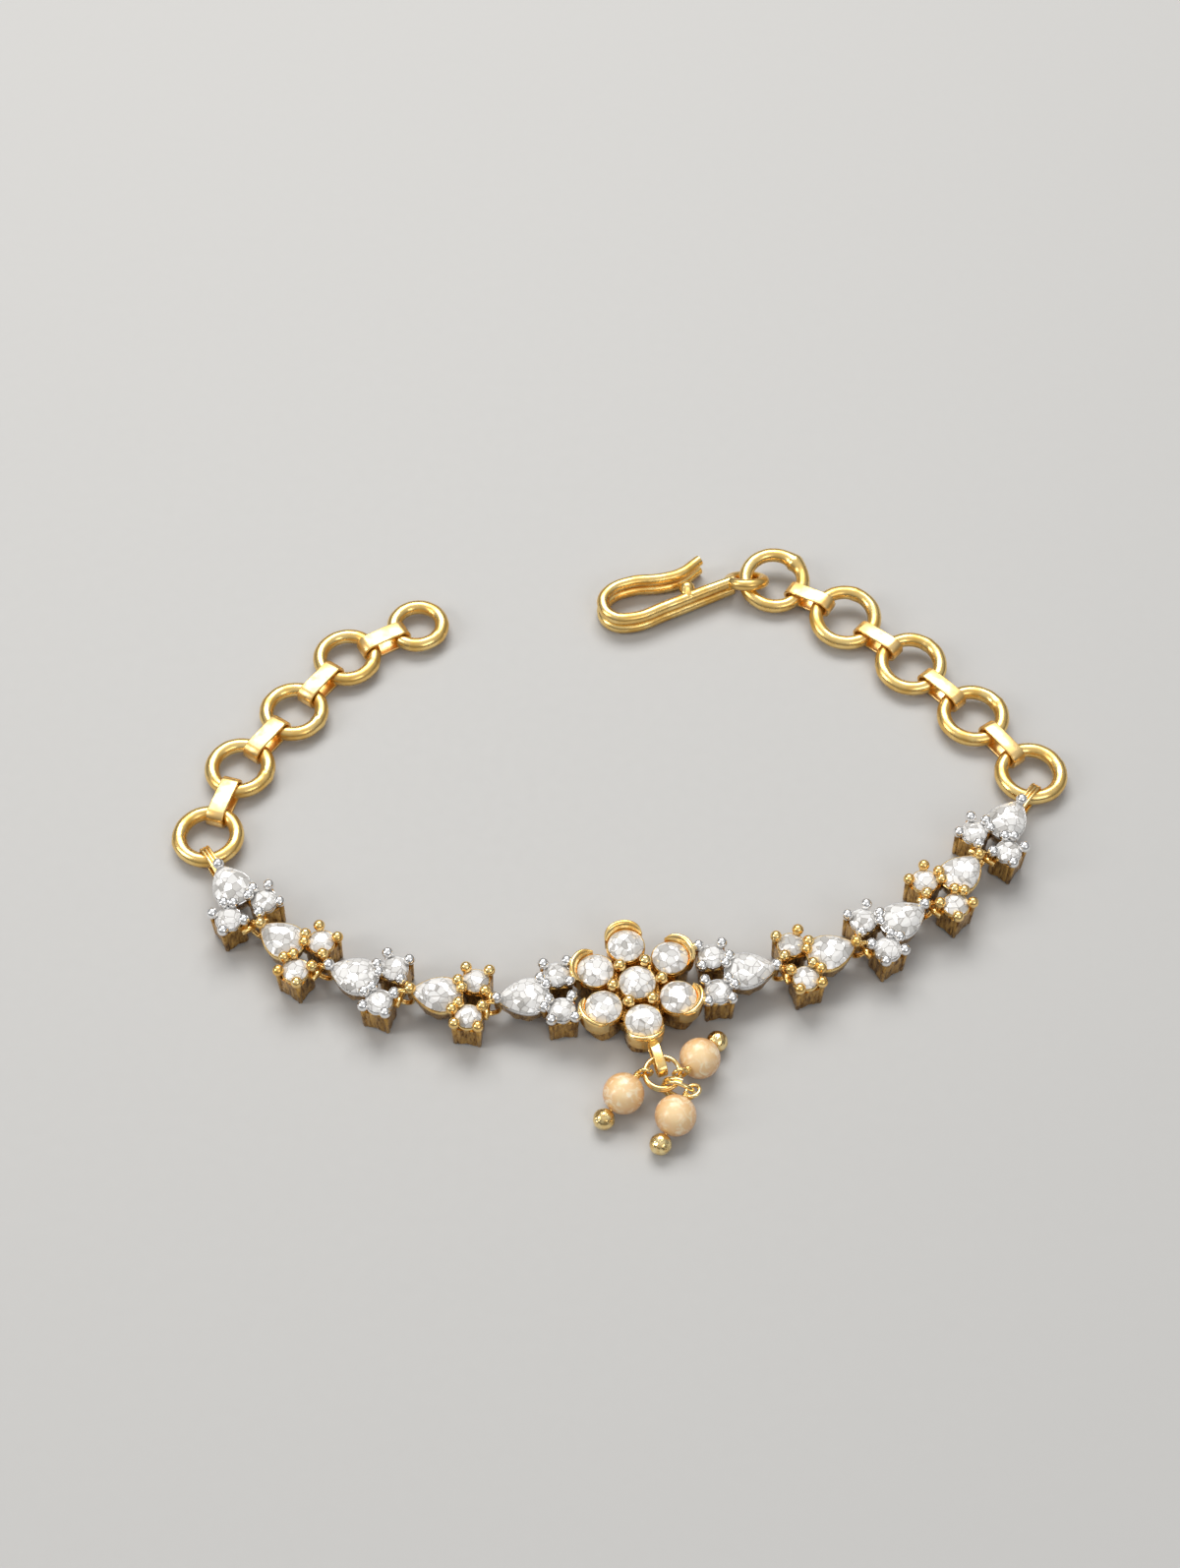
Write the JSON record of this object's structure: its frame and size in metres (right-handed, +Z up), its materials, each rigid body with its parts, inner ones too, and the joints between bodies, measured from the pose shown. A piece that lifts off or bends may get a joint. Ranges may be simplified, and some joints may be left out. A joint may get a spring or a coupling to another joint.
{
  "type": "link bracelet",
  "caption": "Open bracelet of three-stone claw settings and round chain rings, with a stone flower in the middle, pearl drops and a hook clasp.",
  "frame": {"origin": "middle of the bounding box, at the surface that the bracelet lies on", "axes": "+Z up out of the surface, with the stones facing up; +X from the plain end's side to the hook's side; -Y towards the pearl drops"},
  "size_m": [0.0908, 0.0716, 0.0044],
  "materials": {
    "gold": "polished yellow gold plating",
    "rhodium": "polished white rhodium plating on claws and rims",
    "stone": "clear faceted stone",
    "nacre": "cream pearl lustre"
  },
  "bodies": {
    "root": {"centre_setting": "gold", "left_setting_2": "gold", "left_setting_3": "gold", "left_setting_4": "gold", "left_setting_5": "gold", "right_setting_2": "gold", "right_setting_3": "gold", "right_setting_4": "gold", "right_setting_5": "gold", "left_ring_1": "gold", "left_ring_2": "gold", "left_ring_3": "gold", "left_ring_4": "gold", "left_ring_5": "gold", "right_ring_1": "gold", "right_ring_2": "gold", "right_ring_3": "gold", "right_ring_4": "gold", "right_ring_5": "gold", "left_band_1": "gold", "left_band_2": "gold", "left_band_3": "gold", "left_band_4": "gold", "right_band_1": "gold", "right_band_2": "gold", "right_band_3": "gold", "right_band_4": "gold", "hook": "gold", "jump_ring_upper": "gold", "jump_ring_lower": "gold", "headpin_left": "gold", "headpin_middle": "gold", "headpin_right": "gold", "centre_stone": "stone", "petal_stone_1": "stone", "petal_stone_2": "stone", "petal_stone_3": "stone", "petal_stone_4": "stone", "petal_stone_5": "stone", "petal_stone_6": "stone", "left_pear_1": "stone", "left_pear_2": "stone", "left_pear_3": "stone", "left_pear_4": "stone", "left_pear_5": "stone", "right_pear_1": "stone", "right_pear_2": "stone", "right_pear_3": "stone", "right_pear_4": "stone", "right_pear_5": "stone", "pearl_left": "nacre", "pearl_middle": "nacre", "pearl_right": "nacre"}
  },
  "joints": []
}
